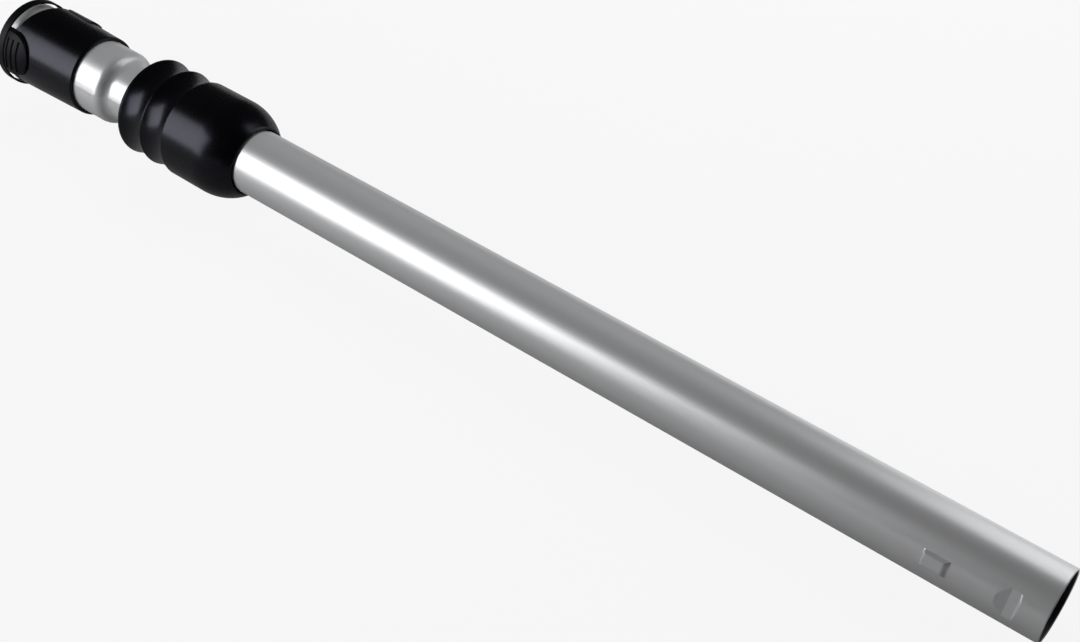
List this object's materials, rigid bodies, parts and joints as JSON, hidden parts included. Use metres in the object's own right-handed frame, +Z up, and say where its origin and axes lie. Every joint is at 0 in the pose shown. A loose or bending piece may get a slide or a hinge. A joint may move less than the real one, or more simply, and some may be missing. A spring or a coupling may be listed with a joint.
{
  "type": "telescopic vacuum wand",
  "caption": "Telescopic vacuum wand: two sliding aluminium tubes, a scalloped release collar with a ball clamp, and a hand-grip socket with a sprung thumb release.",
  "frame": {"origin": "centre of the hand-grip socket's mouth, on the wand's axis", "axes": "+X along the wand to the end that takes the floor tool, +Z up as it lies"},
  "size_m": [0.625, 0.0542, 0.0538],
  "materials": {
    "tube_aluminium": "satin anodised",
    "black_plastic": "satin moulded",
    "liner_plastic": "moulded",
    "housing_plastic": "moulded",
    "bush_plastic": "moulded",
    "seal_rubber": "moulded",
    "wiper_felt": "felt",
    "clamp_steel": "turned",
    "spring_steel": "drawn wire"
  },
  "bodies": {
    "upper_tube": {"inner_tube": "tube_aluminium", "socket_liner": "liner_plastic", "socket_seal": "seal_rubber", "socket_sleeve": "black_plastic", "guide_bush": "bush_plastic", "slide_seal": "seal_rubber", "end_ring": "bush_plastic", "button_spring": "spring_steel"},
    "release_button": {"release_ring": "black_plastic"},
    "lower_tube": {"outer_tube": "tube_aluminium", "lock_housing": "housing_plastic", "housing_pins": "clamp_steel", "wiper_ring": "wiper_felt", "clamp_cone": "clamp_steel", "return_spring": "spring_steel"},
    "release_collar": {"collar_shell": "black_plastic", "collar_cap": "liner_plastic", "ball_cage": "housing_plastic", "clamp_balls": "clamp_steel", "spring_washer": "clamp_steel"}
  },
  "joints": [
    {"name": "telescope", "type": "slide", "parent": "upper_tube", "child": "lower_tube", "axis": [1, 0, 0], "range_m": [0, 0.365]},
    {"name": "collar_pull", "type": "slide", "parent": "lower_tube", "child": "release_collar", "axis": [-1, 0, 0], "range_m": [0, 0.007], "stiffness_N_per_m": 1200, "springref_m": -0.004, "deforming": ["return_spring"]},
    {"name": "button_press", "type": "slide", "parent": "upper_tube", "child": "release_button", "axis": [0, 0.9397, -0.342], "range_m": [0, 0.002], "stiffness_N_per_m": 2000, "springref_m": -0.001, "deforming": ["button_spring"]}
  ]
}
